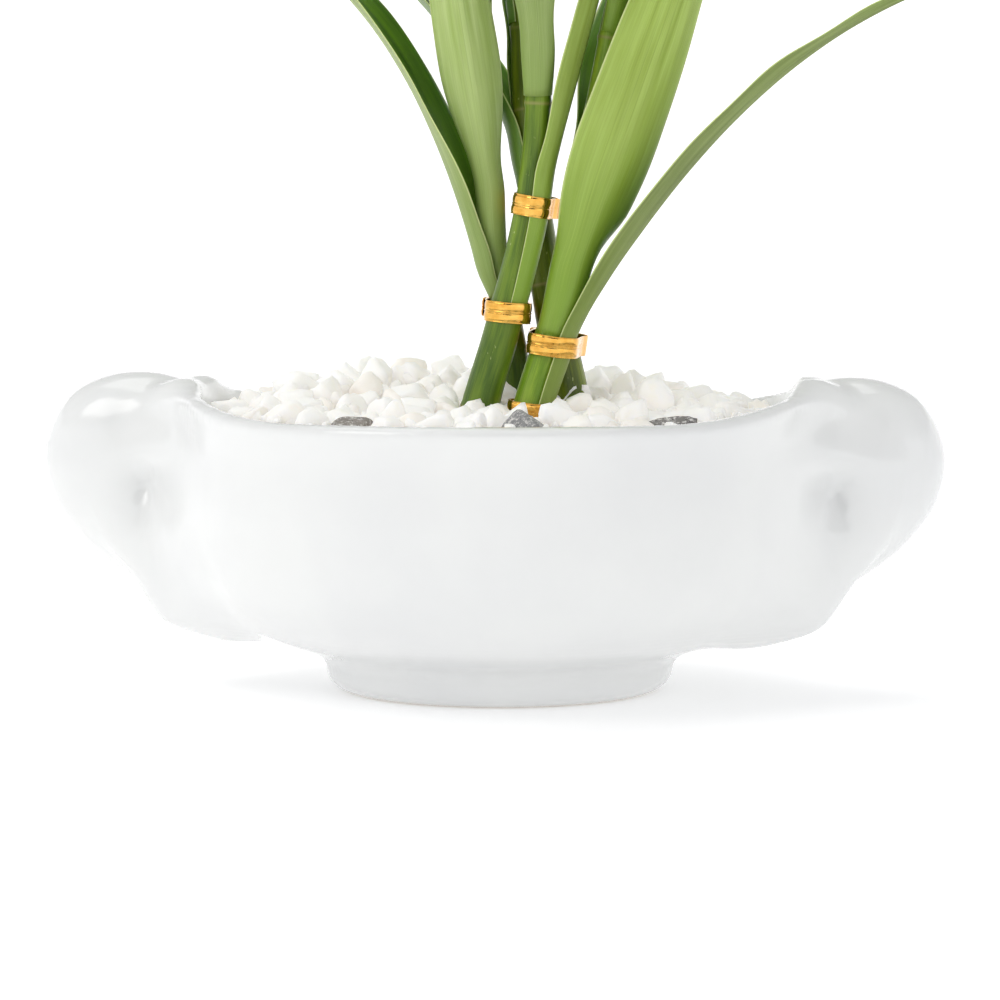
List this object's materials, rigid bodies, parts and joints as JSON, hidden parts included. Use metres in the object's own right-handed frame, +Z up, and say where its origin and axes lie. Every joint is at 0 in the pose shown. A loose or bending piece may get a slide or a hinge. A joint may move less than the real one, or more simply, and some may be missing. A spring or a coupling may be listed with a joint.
{
  "type": "lucky bamboo in a two-handled bowl",
  "caption": "Leafy lucky bamboo stalks tied with gold bands, standing in white gravel in a glazed white bowl with two rolled handles.",
  "frame": {"origin": "the middle of the bowl's flat round foot, on the surface that it stands on", "axes": "+Z up through the bowl's middle, X through the two handles, -Y towards the side that the picture shows"},
  "size_m": [0.2141, 0.1712, 0.2574],
  "materials": {
    "white_glaze": "gloss",
    "white_marble": "matte",
    "dark_stone": "matte",
    "cane": "satin",
    "leaf": "satin",
    "gold": "polished"
  },
  "bodies": {
    "root": {"bowl": "white_glaze", "gravel": "white_marble", "dark_stone_1": "dark_stone", "dark_stone_2": "dark_stone", "dark_stone_3": "dark_stone", "dark_stone_4": "dark_stone", "dark_stone_5": "dark_stone", "dark_stone_6": "dark_stone", "cane_a": "cane", "cane_b": "cane", "cane_c": "cane", "cane_d": "cane", "leaf_a1": "leaf", "leaf_a2": "leaf", "leaf_a3": "leaf", "leaf_a4": "leaf", "leaf_b1": "leaf", "leaf_b2": "leaf", "leaf_b3": "leaf", "leaf_b4": "leaf", "leaf_b5": "leaf", "leaf_c1": "leaf", "leaf_c2": "leaf", "leaf_c3": "leaf", "leaf_c4": "leaf", "leaf_c5": "leaf", "leaf_d1": "leaf", "leaf_d2": "leaf", "leaf_d3": "leaf", "leaf_d4": "leaf", "gold_band_upper": "gold", "gold_band_middle": "gold", "gold_band_lower": "gold", "gold_band_foot": "gold"}
  },
  "joints": []
}
